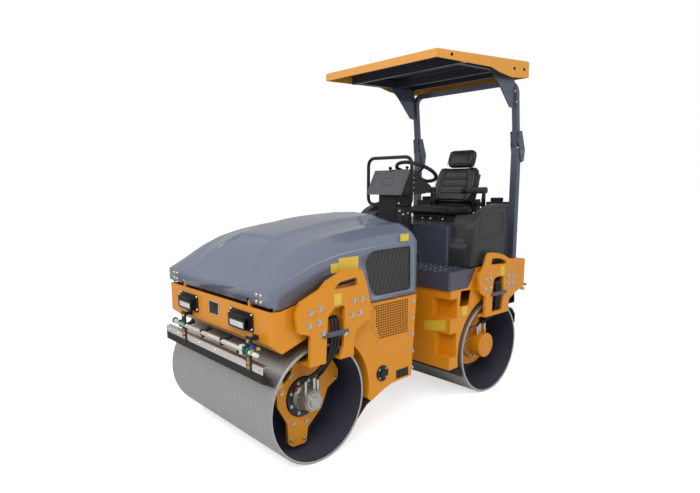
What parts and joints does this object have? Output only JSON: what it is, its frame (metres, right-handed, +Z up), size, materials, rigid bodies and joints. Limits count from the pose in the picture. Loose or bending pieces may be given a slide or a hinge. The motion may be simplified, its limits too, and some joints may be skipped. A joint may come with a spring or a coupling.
{
  "type": "tandem road roller",
  "caption": "Ride-on tandem road roller with smooth steel drums, articulated frame, hinged hood, open operator's seat and folding canopy.",
  "frame": {"origin": "on the ground, midway between the two drum axes, on the machine's centre line", "axes": "+X forward, +Y to the machine's left, +Z up"},
  "size_m": [2.715, 1.324, 2.5356],
  "materials": {
    "orange_paint": "semi-gloss orange-yellow machine paint",
    "grey_paint": "satin blue-grey machine paint",
    "drum_steel": "ground steel shell, dark painted inside",
    "black_metal": "satin black paint",
    "steel": "machined steel",
    "engine_iron": "painted iron",
    "black_plastic": "grained black moulded plastic",
    "grey_plastic": "grained grey moulded plastic",
    "seat_vinyl": "black seat vinyl with sewn channels",
    "scraper_rubber": "black rubber strip",
    "hose_rubber": "black braided hydraulic hose",
    "orange_canopy": "orange-yellow paint above, dark below"
  },
  "bodies": {
    "rear_frame": {"rear_frame": "orange_paint", "step_platform": "grey_paint", "seat_base": "grey_paint", "fender_left": "black_plastic", "fender_right": "black_plastic", "water_tank": "black_plastic", "rear_bracket_left": "orange_paint", "rear_bracket_right": "orange_paint", "rear_motor_left": "orange_paint", "rear_motor_right": "orange_paint", "rops_posts": "grey_paint", "seat_suspension": "black_plastic", "seat_cushion": "seat_vinyl", "seat_backrest": "seat_vinyl", "seat_headrest": "seat_vinyl", "seat_armrests": "seat_vinyl", "console_column": "black_plastic", "dash_panel": "black_plastic", "dash_cover": "grey_plastic", "guard_rail": "black_metal", "tow_lug": "orange_paint", "rear_hoses": "hose_rubber", "rear_scrapers": "scraper_rubber", "rear_spray_bar": "black_metal"},
    "rear_drum": {"rear_drum": "drum_steel"},
    "canopy_frame": {"rops_hoop": "grey_paint", "canopy": "orange_canopy"},
    "steering_wheel": {"steering_wheel": "black_plastic"},
    "yoke": {"articulation_yoke": "black_metal"},
    "cylinder_barrel": {"steering_barrel": "black_metal"},
    "cylinder_rod": {"steering_rod": "steel"},
    "front_frame": {"front_frame": "orange_paint", "front_bracket_left": "orange_paint", "front_bracket_right": "orange_paint", "front_motor_left": "steel", "front_motor_right": "steel", "headlamps": "black_plastic", "engine_block": "engine_iron", "spray_bar": "black_metal", "front_scraper": "scraper_rubber", "side_grilles": "orange_paint", "front_hoses": "hose_rubber"},
    "front_drum": {"front_drum": "drum_steel"},
    "hood": {"hood": "grey_paint", "hood_grilles": "black_metal", "hood_handles": "black_metal"}
  },
  "joints": [
    {"name": "oscillate", "type": "hinge", "parent": "rear_frame", "child": "yoke", "pos_m": [-0.36, 0, 0.58], "axis": [1, 0, 0], "range_deg": [-8, 8]},
    {"name": "steer", "type": "hinge", "parent": "yoke", "child": "front_frame", "pos_m": [0, 0, 0.58], "axis": [0, 0, 1], "range_deg": [-30, 30]},
    {"name": "front_roll", "type": "hinge", "parent": "front_frame", "child": "front_drum", "pos_m": [0.87, 0, 0.36], "axis": [0, 1, 0], "continuous": true},
    {"name": "rear_roll", "type": "hinge", "parent": "rear_frame", "child": "rear_drum", "pos_m": [-0.87, 0, 0.36], "axis": [0, 1, 0], "continuous": true},
    {"name": "hood_lift", "type": "hinge", "parent": "front_frame", "child": "hood", "pos_m": [1.198, 0, 0.995], "axis": [0, 1, 0], "range_deg": [0, 55]},
    {"name": "canopy_fold", "type": "hinge", "parent": "rear_frame", "child": "canopy_frame", "pos_m": [-1.345, 0, 1.787], "axis": [0, 1, 0], "range_deg": [-130, 0]},
    {"name": "wheel_turn", "type": "hinge", "parent": "rear_frame", "child": "steering_wheel", "pos_m": [-0.69, 0, 1.705], "axis": [-0.4695, 0, 0.8829], "continuous": true},
    {"name": "cylinder_swing", "type": "hinge", "parent": "yoke", "child": "cylinder_barrel", "pos_m": [-0.264, -0.12, 0.4], "axis": [0, 0, 1], "range_deg": [-5.2, 5.2]},
    {"name": "rod_slide", "type": "slide", "parent": "cylinder_barrel", "child": "cylinder_rod", "axis": [0.9995, -0.0317, 0], "range_m": [-0.066, 0.066]}
  ],
  "couplings": [
    {"joint": "cylinder_swing", "follows": "steer", "ratio": 0.171},
    {"joint": "rod_slide", "follows": "steer", "m_per_rad": 0.1252}
  ]
}
